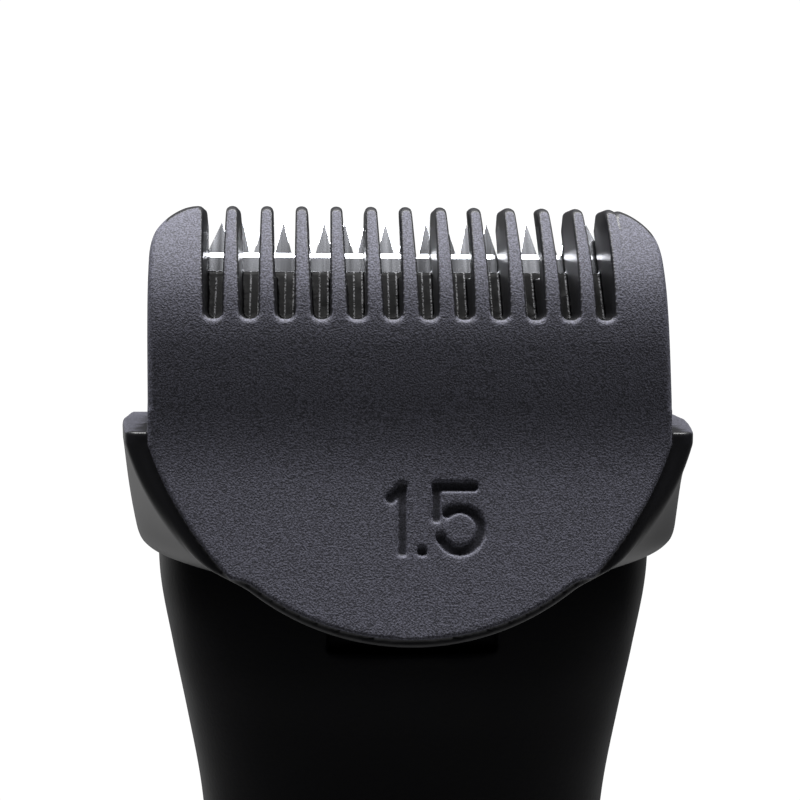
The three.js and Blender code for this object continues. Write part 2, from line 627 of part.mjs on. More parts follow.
const slotPlan = Array.from({ length: SLOT_COUNT }, (_, i) => {
  const x = (i - (SLOT_COUNT - 1) / 2) * SLOT_PITCH;
  const shape = new THREE.Shape([
    [x - SLOT_WIDTH_HIGH / 2, TOTAL_HEIGHT + 1],
    [x - SLOT_WIDTH_LOW / 2, SLOT_BOTTOM],
    [x + SLOT_WIDTH_LOW / 2, SLOT_BOTTOM],
    [x + SLOT_WIDTH_HIGH / 2, TOTAL_HEIGHT + 1],
  ].map(([px, pz]) => new THREE.Vector2(px, pz)));
  return frontProfile(shape, -40, 10);
});
const FLOOR_THICKNESS = 0.9;
const floorFront = (z) => {
  const s = (BLADE_TIP.y - z) / Math.cos(BLADE_TILT);
  return new THREE.Vector2(bladeFace(s).x - FLOOR_THICKNESS / Math.cos(BLADE_TILT), z);
};
const slotDepth = sideProfile([
  new THREE.Vector2(-40, 180),
  new THREE.Vector2(-40, 150),
  floorFront(150),
  floorFront(FLOOR_TOP),
  new THREE.Vector2(10, FLOOR_TOP),
  new THREE.Vector2(10, 180),
], -FAR, FAR);

const combShell = body.add(skirt)
  .intersect(frontProfile(frontOutline, -40, 20, 16))
  .intersect(frontProfile(lobeOutline, -40, 20, 8))
  .intersect(combSide);
const comb = cut(combShell, [
  upperHollow,
  lowerHollow,
  handleSweep,
  join(slotPlan).intersect(slotDepth),
]);
add('comb', comb, COMB_BLACK);

export default clipper;
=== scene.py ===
import json
import math

import bmesh
import bpy
import numpy as np
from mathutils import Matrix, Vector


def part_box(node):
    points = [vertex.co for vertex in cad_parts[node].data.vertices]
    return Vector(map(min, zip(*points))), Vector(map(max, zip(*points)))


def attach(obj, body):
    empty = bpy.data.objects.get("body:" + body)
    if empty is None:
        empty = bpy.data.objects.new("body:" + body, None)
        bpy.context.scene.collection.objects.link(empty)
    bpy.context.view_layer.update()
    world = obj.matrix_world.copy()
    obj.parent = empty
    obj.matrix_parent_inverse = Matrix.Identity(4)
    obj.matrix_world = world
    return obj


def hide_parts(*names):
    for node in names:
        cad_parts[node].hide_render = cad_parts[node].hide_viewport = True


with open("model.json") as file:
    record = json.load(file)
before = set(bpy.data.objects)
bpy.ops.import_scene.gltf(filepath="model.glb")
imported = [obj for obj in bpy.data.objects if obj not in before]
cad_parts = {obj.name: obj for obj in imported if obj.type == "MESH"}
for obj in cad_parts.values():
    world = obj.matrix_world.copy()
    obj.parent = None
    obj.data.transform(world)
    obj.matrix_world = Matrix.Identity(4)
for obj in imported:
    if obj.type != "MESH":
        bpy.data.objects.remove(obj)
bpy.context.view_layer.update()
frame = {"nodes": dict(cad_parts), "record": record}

import openvdb
from mathutils import Matrix, Vector

# Lengths in the modelling sections are millimetres in the frame of the CAD model.
MM = 0.001


def cad_box(node):
    low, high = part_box(node)
    return np.array(low) / MM, np.array(high) / MM


COMB_LOW, COMB_HIGH = cad_box("comb")
TOP = COMB_HIGH[2]
SOCKET_LOW, SOCKET_HIGH = cad_box("charging_socket")
BUTTON_LOW, BUTTON_HIGH = cad_box("power_button")
SOCKET_Y = (SOCKET_LOW[1] + SOCKET_HIGH[1]) / 2
SHIFT = SOCKET_Y - 0.5  # the frame's Y of the grip's axis


# ---------- camera ----------
CAMERA_TARGET = Vector((-1.3, SHIFT - 18.6, TOP - 16.0)) * MM
CAMERA_AZIMUTH = math.radians(-3.0)
CAMERA_ELEVATION = math.radians(3.4)
CAMERA_ROLL = math.radians(0.3)
CAMERA_DISTANCE = 0.1225
CAMERA_LENS = 64.8
SENSOR_WIDTH = 36
CLIP_START = 0.005


def make_camera():
    data = bpy.data.cameras.new("camera")
    data.lens = CAMERA_LENS
    data.sensor_width = SENSOR_WIDTH
    data.clip_start = CLIP_START
    camera = bpy.data.objects.new("camera", data)
    bpy.context.scene.collection.objects.link(camera)
    away = Vector((
        math.sin(CAMERA_AZIMUTH) * math.cos(CAMERA_ELEVATION),
        -math.cos(CAMERA_AZIMUTH) * math.cos(CAMERA_ELEVATION),
        math.sin(CAMERA_ELEVATION),
    ))
    camera.location = CAMERA_TARGET + away * CAMERA_DISTANCE
    look = (-away).to_track_quat("-Z", "Y")
    camera.rotation_mode = "QUATERNION"
    camera.rotation_quaternion = look @ Matrix.Rotation(CAMERA_ROLL, 4, "Z").to_quaternion()
    bpy.context.scene.camera = camera


make_camera()


PITCH = 3.0  # of the comb's teeth
COMB_ASIDE = 0.3  # play by which the comb sits to one side
TEXTURED_DARK, TEXTURED_LIGHT = (0.024, 0.024, 0.032), (0.071, 0.071, 0.094)
SMOOTH_BLACK = (0.006, 0.006, 0.0075)
# Painted light on the slot floors: a blacker colour as painted shade, and a pale grey for the painted
# highlight lines.
WEB_SHADE, WEB_HIGHLIGHT = (0.001, 0.001, 0.0013), (0.2, 0.2, 0.21)
TEXTURE_SCALE = 6800
TEXTURE_DEPTH = 0.00006
HIGHLIGHT_OFFSET = 0.36  # of the two painted highlight lines on each slot floor, from its middle
METAL_WEAR = 1.15

# ---------- node materials ----------
class Nodes:
    """Short-hand for building a material's node tree."""

    def __init__(self, name):
        self.material = bpy.data.materials.new(name)
        self.material.use_nodes = True
        self.tree = self.material.node_tree
        self.shader = self.tree.nodes["Principled BSDF"]
        self.place = self.add("ShaderNodeTexCoord").outputs["Object"]

    def add(self, kind, **values):
        node = self.tree.nodes.new(kind)
        for key, value in values.items():
            setattr(node, key, value)
        return node

    def link(self, source, target):
        self.tree.links.new(source, target)

    def set(self, **values):
        for key, value in values.items():
            self.shader.inputs[key.replace("_", " ")].default_value = value

    def noise(self, scale, detail=2.0, roughness=0.5, stretch=None):
        noise = self.add("ShaderNodeTexNoise")
        noise.inputs["Scale"].default_value = scale
        noise.inputs["Detail"].default_value = detail
        noise.inputs["Roughness"].default_value = roughness
        source = self.place
        if stretch:
            mapping = self.add("ShaderNodeMapping")
            mapping.inputs["Scale"].default_value = stretch
            self.link(source, mapping.inputs["Vector"])
            source = mapping.outputs["Vector"]
        self.link(source, noise.inputs["Vector"])
        return noise.outputs["Fac"]

    def ramp(self, source, low, high, out_low, out_high):
        span = self.add("ShaderNodeMapRange")
        span.inputs["From Min"].default_value = low
        span.inputs["From Max"].default_value = high
        span.inputs["To Min"].default_value = out_low
        span.inputs["To Max"].default_value = out_high
        self.link(source, span.inputs["Value"])
        return span.outputs["Result"]

    def math(self, operation, first, second=0.0):
        node = self.add("ShaderNodeMath", operation=operation)
        for socket, value in zip(node.inputs, (first, second)):
            if isinstance(value, (int, float)):
                socket.default_value = value
            else:
                self.link(value, socket)
        return node.outputs[0]

    def mix(self, factor, first, second):
        mix = self.add("ShaderNodeMix", data_type="RGBA")
        self.link(factor, mix.inputs["Factor"])
        for socket, color in zip(mix.inputs[6:8], (first, second)):
            if isinstance(color, tuple):
                socket.default_value = (*color, 1)
            else:
                self.link(color, socket)
        return mix.outputs[2]

    def bump(self, height, strength, distance):
        bump = self.add("ShaderNodeBump")
        bump.inputs["Strength"].default_value = strength
        bump.inputs["Distance"].default_value = distance
        self.link(height, bump.inputs["Height"])
        return bump.outputs["Normal"]


def plastic(name, color, lift, roughness, grain_scale, grain_depth, specular=0.5):
    """Moulded plastic: a little uneven in colour and gloss, with a fine skin."""
    nodes = Nodes(name)
    nodes.set(Specular_IOR_Level=specular)
    cloud = nodes.noise(60, 3)
    brighter = tuple(channel * lift for channel in color)
    nodes.link(nodes.mix(cloud, color, brighter), nodes.shader.inputs["Base Color"])
    nodes.link(nodes.ramp(nodes.noise(90, 3), 0.3, 0.7, roughness - 0.05, roughness + 0.06),
               nodes.shader.inputs["Roughness"])
    skin = nodes.noise(grain_scale, 2)
    nodes.link(nodes.bump(skin, 1.0, grain_depth), nodes.shader.inputs["Normal"])
    return nodes.material


def slot_highlight_lines(nodes, breaks):
    """Two fine broken painted highlight lines along the floor of every slot."""
    place = nodes.add("ShaderNodeSeparateXYZ")
    nodes.link(nodes.place, place.inputs[0])
    across = nodes.math("ADD", place.outputs[0], COMB_ASIDE * MM)
    column = nodes.math("FLOORED_MODULO", across, PITCH * MM)
    column = nodes.math("ABSOLUTE", nodes.math("SUBTRACT", column, PITCH / 2 * MM))
    column = nodes.math("ABSOLUTE", nodes.math("SUBTRACT", column, HIGHLIGHT_OFFSET * MM))
    line = nodes.ramp(column, 0.03 * MM, 0.09 * MM, 1, 0)
    return nodes.math("MULTIPLY", line, nodes.ramp(breaks, 0.42, 0.6, 0, 1))


def comb_plastic():
    """Black plastic: textured where the mesh's grain is 1; on the slot floors, where its web is 1,
    blackest as painted shade, with painted highlight lines.
    """
    nodes = Nodes("comb_plastic")
    mask = nodes.add("ShaderNodeAttribute", attribute_name="grain").outputs["Fac"]
    web = nodes.add("ShaderNodeAttribute", attribute_name="web").outputs["Fac"]
    pits = nodes.noise(TEXTURE_SCALE, 2, 0.5)
    speck = nodes.mix(nodes.ramp(pits, 0.4, 0.61, 0, 1), TEXTURED_DARK, TEXTURED_LIGHT)
    # Painted shade: the slot floors are coloured blacker than the rest of the smooth plastic.
    smooth = nodes.mix(web, SMOOTH_BLACK, WEB_SHADE)
    # Painted highlights: pale grey lines painted along the floor of every slot.
    smooth = nodes.mix(nodes.math("MULTIPLY", slot_highlight_lines(nodes, pits), web), smooth, WEB_HIGHLIGHT)
    nodes.link(nodes.mix(mask, smooth, speck), nodes.shader.inputs["Base Color"])
    nodes.link(nodes.ramp(mask, 0, 1, 0.42, 0.75), nodes.shader.inputs["Roughness"])
    nodes.link(nodes.ramp(web, 0, 1, 0.3, 0.03), nodes.shader.inputs["Specular IOR Level"])
    grit = nodes.math("MULTIPLY", nodes.math("MULTIPLY", pits, mask), TEXTURE_DEPTH)
    nodes.link(nodes.bump(grit, 1.0, 1.0), nodes.shader.inputs["Normal"])
    return nodes.material


def metal(name, color, roughness, stretch, line_depth=0.000004):
    """Ground metal: fine parallel grinding lines with uneven gloss."""
    nodes = Nodes(name)
    nodes.set(Metallic=1.0)
    lines = nodes.noise(900, 3, 0.6, stretch)
    brighter = tuple(min(1.0, channel * METAL_WEAR) for channel in color)
    nodes.link(nodes.mix(lines, color, brighter), nodes.shader.inputs["Base Color"])
    nodes.link(nodes.ramp(lines, 0.3, 0.7, roughness * 0.8, roughness * 1.25),
               nodes.shader.inputs["Roughness"])
    nodes.link(nodes.bump(lines, 0.6, line_depth), nodes.shader.inputs["Normal"])
    return nodes.material


def studio_white(name, color, roughness):
    """Nearly even pale floor."""
    nodes = Nodes(name)
    nodes.set(Roughness=roughness)
    soft = nodes.noise(4, 2)
    darker = tuple(channel * 0.985 for channel in color)
    nodes.link(nodes.mix(soft, color, darker), nodes.shader.inputs["Base Color"])
    return nodes.material


LOOKS = {
    "comb_plastic": comb_plastic(),
    "shell_plastic": plastic("shell_plastic", (0.0014, 0.0014, 0.0021), 1.35, 0.42, 2600, 0.000012, 0.06),
    "trim_plastic": plastic("trim_plastic", (0.008, 0.008, 0.009), 1.4, 0.32, 2200, 0.000012, 0.45),
    "head_plastic": plastic("head_plastic", (0.014, 0.014, 0.016), 1.4, 0.5, 2600, 0.00003, 0.45),
    "blade_steel": metal("blade_steel", (0.25, 0.255, 0.275), 0.13, (1, 0.03, 0.03), 0.000001),
    "screw_steel": metal("screw_steel", (0.30, 0.31, 0.33), 0.35, (0.2, 0.2, 1)),
    "motor_steel": metal("motor_steel", (0.55, 0.55, 0.57), 0.33, (0.3, 0.3, 1)),
    "copper": metal("copper", (0.72, 0.36, 0.2), 0.35, (1, 1, 0.2)),
    "nylon": plastic("nylon", (0.62, 0.6, 0.55), 1.08, 0.5, 1800, 0.00003),
    "magnet": plastic("magnet", (0.03, 0.03, 0.033), 1.5, 0.6, 3000, 0.00005),
    "cell_sleeve": plastic("cell_sleeve", (0.03, 0.09, 0.26), 1.2, 0.3, 500, 0.00003),
    "board": plastic("board", (0.01, 0.09, 0.035), 1.2, 0.4, 1500, 0.00003),
    "light": plastic("light", (0.6, 0.75, 0.9), 1.05, 0.25, 500, 0.00001),
    "lead_red": plastic("lead_red", (0.35, 0.015, 0.015), 1.15, 0.45, 1500, 0.00002),
    "lead_black": plastic("lead_black", (0.01, 0.01, 0.01), 1.3, 0.45, 1500, 0.00002),
}

for part in frame["record"]["subparts"]:
    cad_mesh = frame["nodes"][part["node"]].data
    cad_mesh.materials.clear()
    cad_mesh.materials.append(LOOKS[part["material_slot"]])


# ---------- distance fields ----------
def round_and(a, b, radius):
    """Where both fields are inside, with the shared edge rounded to a radius."""
    corner = np.hypot(np.maximum(a + radius, 0), np.maximum(b + radius, 0))
    return np.minimum(np.maximum(a, b), -radius) + corner


def round_or(a, b, radius):
    """Either field, with the inner corner between them filleted."""
    corner = np.hypot(np.maximum(radius - a, 0), np.maximum(radius - b, 0))
    return np.maximum(np.minimum(a, b), radius) - corner


def soft_max(a, b, reach):
    """The larger field, blended where the two are close."""
    near = np.maximum(reach - np.abs(a - b), 0) / reach
    return np.maximum(a, b) + near * near * reach / 4


def segment(u, v, start, end):
    """Distance in a plane to a straight line between two points."""
    su, sv = start
    eu, ev = end
    length = (eu - su) ** 2 + (ev - sv) ** 2
    along = np.clip(((u - su) * (eu - su) + (v - sv) * (ev - sv)) / length, 0, 1)
    return np.hypot(u - su - along * (eu - su), v - sv - along * (ev - sv))


def rounded_box(u, v, half_u, half_v, radius):
    """Distance in a plane to a rectangle with round corners."""
    du = np.abs(u) - half_u + radius
    dv = np.abs(v) - half_v + radius
    return np.hypot(np.maximum(du, 0), np.maximum(dv, 0)) + np.minimum(np.maximum(du, dv), 0) - radius


def polygon(u, v, points):
    """Signed distance in a plane to a closed outline, negative inside."""
    near = np.inf
    inside = np.zeros(np.broadcast(u, v).shape, bool)
    for (au, av), (bu, bv) in zip(points, points[1:] + points[:1]):
        near = np.minimum(near, segment(u, v, (au, av), (bu, bv)))
        if av != bv:
            crosses = ((av > v) != (bv > v)) & (u < (bu - au) * (v - av) / (bv - av) + au)
            inside ^= crosses
    return np.where(inside, -near, near)


def grid(low, high, step):
    axes = [np.arange(a, b + step, step, dtype=np.float32) for a, b in zip(low, high)]
    return axes[0][:, None, None], axes[1][None, :, None], axes[2][None, None, :]


def field_mesh(name, field, low, high, step, faces=None):
    """Closed mesh of the space where field(x, y, z) is negative."""
    x, y, z = grid(low, high, step)
    values = np.broadcast_to(field(x, y, z), (x.size, y.size, z.size))
    volume = openvdb.FloatGrid(background=3 * step)
    volume.copyFromArray(np.ascontiguousarray(np.clip(values, -3 * step, 3 * step), dtype=np.float32))
    points, quads = volume.convertToQuads(isovalue=0.0)
    places = points * step + np.array(low)
    mesh = bpy.data.meshes.new(name)
    mesh.from_pydata((places * MM).tolist(), [], quads[:, ::-1].tolist())
    mesh.validate()
    return finish_mesh(name, mesh, faces)


def finish_mesh(name, mesh, faces=None):
    mesh.polygons.foreach_set("use_smooth", np.ones(len(mesh.polygons), bool))
    piece = bpy.data.objects.new(name, mesh)
    bpy.context.scene.collection.objects.link(piece)
    if faces:
        triangles = sum(len(p.vertices) - 2 for p in mesh.polygons)
        thin = piece.modifiers.new("thin", "DECIMATE")
        thin.ratio = min(1.0, faces / triangles)
        apply_modifiers(piece)
    return piece


def apply_modifiers(piece):
    graph = bpy.context.evaluated_depsgraph_get()
    solved = bpy.data.meshes.new_from_object(piece.evaluated_get(graph), depsgraph=graph)
    piece.modifiers.clear()
    old = piece.data
    piece.data = solved
    bpy.data.meshes.remove(old)


def dress(piece, body, slot, *nodes):
    piece.data.materials.clear()
    piece.data.materials.append(LOOKS[slot])
    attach(piece, body)
    if nodes:
        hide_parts(*nodes)


# ---------- comb ----------
COMB_STEP = 0.15
COMB_FACES = 190000
COMB_MARGIN = 0.8
TIP = TOP + 0.75
BODY_HALF = 22.55
LOBE_RADIUS = 4.8
TOOTH_EDGE = 0.38
FACE_Y = SHIFT - 20.9
CROWN = 0.8  # how far the face falls back at CROWN_REACH from its middle
CROWN_REACH = 20.0

SLOT_FLOOR = TOP - 9.15
SLOT_REACH = 18.0  # slots end here, beside the two wide lobes
SLOT_HALF = 0.735  # at the floor
SLOT_FLARE = 0.0255
THIN_REACH, THIN_FROM, THIN_DEPTH = 16.4, TOP - 5.5, 2.2
WEB_TOP, WEB_DEPTH, WEB_HALF = TOP - 5.0, 0.75, 0.45

LEDGE = TOP - 18.7  # top of the skirt and its wings
LEDGE_RISE = 0.035
HEM = TOP - 31.1
WING_REAR = SHIFT - 2.0
LIP_RADIUS = 22.6
LIP_END = TOP - 36.4
RIM = 0.72
WALL = 1.7
FACE_WALL = 2.2
GROOVE = 0.45  # how far the skirt lies below the panel
ROOM_TOP = TOP - 19.4
GRIP_CLEARANCE = 0.3

# The edge between the teeth, in side view, and the blade's slope.
BLADE_TILT = math.radians(36)
EDGE_Y = SHIFT - 9.2
EDGE_Z = TOP - 1.4

SIZE_MARK_X = 2.3  # middle of the engraved size
SIZE_MARK_TOP = TOP - 22.7
SIZE_MARK_HEIGHT = 6.15
STROKE = 0.43
MARK_DEPTH = 0.26
FIVE_OPENING = (128, -158)  # degrees between which the bowl of the five is open

# How far the face leans back, per millimetre of height, at heights below the tooth tips.
LEAN = (
    (-0.4, 0.9), (2.0, 0.78), (4.0, 0.58), (6.0, 0.34), (7.5, 0.19), (9.3, 0.1), (11.5, 0.02),
    (14.0, 0.0), (16.5, -0.02), (19.0, 0.03), (21.0, 0.1), (23.0, 0.15), (37.0, 0.17),
)


def blade_depth(y, z):
    """Distance behind the plane of the blade's front."""
    return (y - EDGE_Y) * math.cos(BLADE_TILT) - (z - EDGE_Z) * math.sin(BLADE_TILT)


def face_line(z):
    """The face's Y in side view: teeth curving back above, a slightly flared panel below."""
    steps = np.linspace(TOP - 40, TOP + 2, 421)
    lean = np.interp(TOP - steps, *zip(*LEAN))
    line = np.concatenate(([0], np.cumsum((lean[1:] + lean[:-1]) / 2 * np.diff(steps))))
    line += FACE_Y - np.interp(TOP - 16.5, steps, line)
    return np.interp(z, steps, line)


def crown(x):
    """How far the face falls back beside its middle."""
    return CROWN * (x / CROWN_REACH) ** 2


def comb_front(x, y, z):
    """Distance outside the comb's crowned face."""
    face = face_line(z)
    slope = np.gradient(face.ravel(), z.ravel()).reshape(z.shape)
    return (face + crown(x) - y) / np.sqrt(1 + slope * slope)


def figure_one(x, z, top, foot):
    middle = SIZE_MARK_X - 3.2
    return [
        segment(x, z, (middle, top - STROKE), (middle, foot + STROKE)),
        segment(x, z, (middle, top - STROKE), (middle - 0.95, top - 1.4)),
        np.hypot(x - middle - 1.63, z - foot - STROKE),
    ]


def figure_five(x, z, top, foot):
    left = SIZE_MARK_X - 0.33
    cx, cz, radius = left + 1.95, foot + 2.17, 1.74
    turn = np.arctan2(z - cz, x - cx)
    ring = np.abs(np.hypot(x - cx, z - cz) - radius)
    first, last = (math.radians(angle) for angle in FIVE_OPENING)
    ends = [np.hypot(x - cx - radius * math.cos(a), z - cz - radius * math.sin(a))
            for a in (first, last)]
    return [
        segment(x, z, (left, top - STROKE), (left + 3.1, top - STROKE)),
        segment(x, z, (left, top - STROKE), (left - 0.05, top - 3.0)),
        np.where((turn > first) | (turn < last), np.minimum(*ends), ring),
    ]


def size_mark(x, z):
    """Engraved 1.5, drawn from straight strokes and one arc."""
    top = SIZE_MARK_TOP
    foot = top - SIZE_MARK_HEIGHT
    return np.minimum.reduce(figure_one(x, z, top, foot) + figure_five(x, z, top, foot)) - STROKE


def panel_half(z):
    """Half-width of the textured panel below the ledge."""
    drop = np.maximum(LEDGE - 1.0 - z, 0)
    return 22.2 - 0.33 * drop - 0.027 * drop * drop


def lip_outline(x, z, end):
    """Front view of the round lower lip, above its lowest point."""
    return np.maximum(np.hypot(x, z - end - LIP_RADIUS) - LIP_RADIUS, z - HEM - 4)


def panel_outline(x, z):
    """Front view of the textured panel: tapering sides, then the round lip."""
    upper = np.maximum((np.abs(x) - panel_half(z)) * 0.86, HEM + 0.3 - z)
    return round_or(upper, lip_outline(x, z, LIP_END + RIM), 0.6)


def wing_half(x, y, z):
    """Half-width of the skirt: narrow beside the panel, flaring towards the rear."""
    drop = np.maximum(LEDGE - z, 0)
    narrow = panel_half(z) + 1.8
    wide = np.where(x < 0, 25.85 - 0.0095 * drop * drop, 26.2 - 0.0045 * drop * drop) - 0.03 * drop
    reach = np.clip((y - SHIFT + 20.3) / 12.3, 0, 1)
    return narrow + (wide - narrow) * (1 - (1 - reach) ** 1.25)


def ledge_top(y):
    """Height of the wings' top, which rises slightly towards the rear."""
    return LEDGE + LEDGE_RISE * (y - SHIFT + 20)


def aside(z):
    """The upper block leans a little to one side."""
    return 0.026 * np.clip(z - TOP + 16, 0, 20)


def tooth_section(x, y, z, front):
    """The upper block with its rounded top corners and slightly drawn-in sides."""
    away = np.abs(x + aside(z)) + 0.024 * np.clip(z - TOP + 18, 0, 20)
    side = away - BODY_HALF - 0.03 * (y - SHIFT + 20)
    block = round_and(front, side, 0.9)
    block = np.maximum(block, LEDGE - 1.0 - z)
    dome = round_and(away - BODY_HALF, z - TIP, LOBE_RADIUS)
    return round_and(block, dome, 0.9)


def panel_section(x, z, front):
    """The raised textured panel below the block."""
    panel = round_and(np.maximum(front, -front - 1.2), panel_outline(x, z), 0.28)
    return np.maximum(panel, z - LEDGE - 2)


def skirt_section(x, y, z, front):
    """The smooth skirt with its wings and the rim around the lower lip."""
    side = (np.abs(x) - wing_half(x, y, z)) * 0.95
    shell = round_and(front + GROOVE, side, 1.1)
    hem = round_and(side - 0.1, HEM - z, 3.0)
    bottom = round_or(hem, lip_outline(x, z, LIP_END), 0.9)
    shell = round_and(shell, bottom, 0.35)
    shell = round_and(shell, z - ledge_top(y), 0.25)
    return round_and(shell, y - WING_REAR, 0.8)


def open_rear(y, z):
    """Distance behind the comb's sloping rear edge."""
    slope = (y - SHIFT + 10) * 0.881 + (z - TOP) * 0.474
    return soft_max(slope, y - WING_REAR, 3.0)


def comb_hollow(x, y, z, front, depth):
    """Room for the blades above, and for the end of the grip below."""
    away = np.abs(x)
    upper = np.maximum(away - BODY_HALF + 1.2, -(depth + 0.3))
    upper = np.maximum(upper, -(y - SHIFT + 18.0))
    upper = np.maximum(upper, (TOP - 22) - z)
    lower = round_and(front + FACE_WALL, away - wing_half(x, y, z) + WALL, 1.8)
    lower = np.maximum(lower, z - ROOM_TOP)
    return round_or(upper, lower, 0.6)


def slots(x, z):
    """Gaps between the teeth, wider towards the tips and rounded at the bottom."""
    local = np.abs(np.mod(x + aside(z), PITCH) - PITCH / 2)
    width = SLOT_HALF + SLOT_FLARE * (z - SLOT_FLOOR)
    slot = round_and(local - width, SLOT_FLOOR - z, 0.6)
    return np.maximum(slot, np.abs(x) - SLOT_REACH)


def slot_web(x, z, depth):
    """Floor of the slots in front of the blade."""
    web = np.maximum(np.abs(depth + WEB_DEPTH) - WEB_HALF, z - WEB_TOP)
    web = np.maximum(web, SLOT_FLOOR - 1 - z)
    return np.maximum(web, np.abs(x) - SLOT_REACH)


def cut_teeth(solid, x, z, front):
    """Cut the slots, and thin every second tooth from front to back."""
    toothed = round_and(solid, round_and(-slots(x, z), z - TIP, 0.6), TOOTH_EDGE)
    thin = (np.mod(np.round(x / PITCH), 2) == 0) & (np.abs(x) < THIN_REACH) & (z > THIN_FROM)
    return np.maximum(toothed, np.where(thin, -(front + THIN_DEPTH), -5.0))


def comb_field(x, y, z):
    clear_of_grip = grip(x, y, z, -GRIP_CLEARANCE)
    x = x + COMB_ASIDE
    front = comb_front(x, y, z)
    depth = blade_depth(y, z)
    solid = np.minimum(tooth_section(x, y, z, front), panel_section(x, z, front))
    solid = np.minimum(solid, skirt_section(x, y, z, front))
    solid = round_and(solid, open_rear(y, z), 0.5)
    room = np.minimum(comb_hollow(x, y, z, front, depth), np.maximum(clear_of_grip, z - ROOM_TOP))
    solid = round_and(solid, -room, 0.2)
    toothed = np.minimum(cut_teeth(solid, x, z, front), slot_web(x, z, depth))
    mark = np.maximum(size_mark(x, z), -(front + MARK_DEPTH))
    return round_and(toothed, -mark, 0.06)


def comb_grain(x, y, z):
    """1 on the textured faces, less in the engraving and on the wings' tops, 0 elsewhere."""
    x = x + COMB_ASIDE
    away = np.abs(x)
    behind = y - face_line(z) - crown(x)
    on_block = (z > LEDGE + 0.1) & (away > 21.0) & (behind < 1.0)
    on_face = (behind < 0.26) & ((z > LEDGE) | (panel_outline(x, z) < 0.02))
    among_teeth = (z > SLOT_FLOOR + 0.3) & (away < SLOT_REACH + 0.3)
    on_face &= ~among_teeth | (behind < 0.09)
    in_mark = (behind < 0.6) & (size_mark(x, z) < 0.1)
    on_wing = (behind > 1.0) & (away > 23.4) & (z > ledge_top(y) - 0.15)
    return np.select([on_block | on_face, in_mark, on_wing], [1.0, 0.35, 0.6], 0.0)


def comb_web(x, y, z):
    """1 on the floors of the slots."""
    near = np.abs(blade_depth(y, z) + WEB_DEPTH) < 0.7
    return np.where((np.abs(x) < SLOT_REACH + 0.1) & (z > SLOT_FLOOR - 0.6) & near, 1.0, 0.0)


def make_comb():
    low, high = COMB_LOW - COMB_MARGIN, COMB_HIGH + COMB_MARGIN
    piece = field_mesh("length_comb", comb_field, low, high, COMB_STEP, COMB_FACES)
    mesh = piece.data
    places = np.zeros(len(mesh.vertices) * 3)
    mesh.vertices.foreach_get("co", places)
    x, y, z = (places.reshape(-1, 3) / MM).T
    for name, mask in (("grain", comb_grain), ("web", comb_web)):
        mesh.attributes.new(name, "FLOAT", "POINT").data.foreach_set("value", mask(x, y, z))
    dress(piece, "comb", "comb_plastic", "comb")


# ---------- housing ----------
# Height, half-width, front depth and rear depth of the grip.
GRIP = (
    (0, 15.6, 11.8, 12.6), (2, 16.6, 12.8, 13.6), (30, 18.6, 14.6, 15.8), (60, 19.4, 15.4, 16.6),
    (90, 19.3, 15.6, 16.6), (117, 19.8, 15.3, 15.6), (124, 21.1, 16.0, 15.3), (130, 22.3, 16.9, 15.1),
    (137, 23.5, 17.4, 14.9), (142, 23.6, 17.5, 14.6), (148, 23.2, 17.2, 14.0), (150, 22.8, 16.8, 13.6),
)
GRIP_POWER = 2.6
SHELL_WALL = 2.0
CAP_TOP = 7.0
SHELL_TOP = TOP - 22
GAP = 0.3  # between neighbouring pieces
SPLIT = SHIFT - 1.0
TONGUE_PLAY = 0.15
SCREW_PLACES = ((-12.4, 26), (12.4, 26), (-16.6, 138), (16.6, 138))
SCREW_SEAT = SHIFT + 9.2
BUTTON_X, BUTTON_Z = 0.0, (BUTTON_LOW[2] + BUTTON_HIGH[2]) / 2
BUTTON_FACE = BUTTON_HIGH[1]
LIGHT_Z = 80.0
SHELL_STEP = 0.36
SHELL_FACES = 150000
HEAD_HALF, BAY_HALF, WELL_HALF = 20.6, 15.6, 8.6


def grip_line(z, column):
    """Smooth curve through one column of the grip's stations."""
    heights = np.array([row[0] for row in GRIP], float)
    values = np.array([row[column] for row in GRIP], float)
    slopes = np.gradient(values, heights)
    i = np.clip(np.searchsorted(heights, z) - 1, 0, len(heights) - 2)
    span = heights[i + 1] - heights[i]
    t = (z - heights[i]) / span
    rise = (2 * t ** 3 - 3 * t ** 2 + 1) * values[i] + (3 * t ** 2 - 2 * t ** 3) * values[i + 1]
    return rise + span * ((t ** 3 - 2 * t ** 2 + t) * slopes[i] + (t ** 3 - t ** 2) * slopes[i + 1])


def grip(x, y, z, inset=0.0):
    """Distance outside the grip, whose section is a squarish oval."""
    half = grip_line(z, 1) - inset
    depth = np.where(y < SHIFT, grip_line(z, 2), grip_line(z, 3)) - inset
    u, v = np.abs(x) / half, np.abs(y - SHIFT) / depth
    reach = np.maximum((u ** GRIP_POWER + v ** GRIP_POWER) ** (1 / GRIP_POWER), 0.01)
    pull = reach ** (1 - GRIP_POWER)
    slope = pull * np.hypot(u ** (GRIP_POWER - 1) / half, v ** (GRIP_POWER - 1) / depth)
    return (reach - 1) / np.maximum(slope, 0.01)


def shell_wall(x, y, z, boss):
    outer = grip(x, y, z)
    wall = round_and(outer, -grip(x, y, z, SHELL_WALL), 0.2)
    for px, pz in SCREW_PLACES:
        wall = np.minimum(wall, np.maximum(np.hypot(x - px, z - pz) - boss, outer))
    wall = round_and(wall, CAP_TOP + GAP - z, 0.35)
    return round_and(wall, z - SHELL_TOP, 0.35)


def tongue(x, y, z, play):
    """Inner half of the wall, which bridges the joint between the two covers."""
    layer = np.maximum(grip(x, y, z, 1.0 - play), -grip(x, y, z, SHELL_WALL + play))
    return np.maximum(layer, np.abs(y - SPLIT) - 1.0 - play)


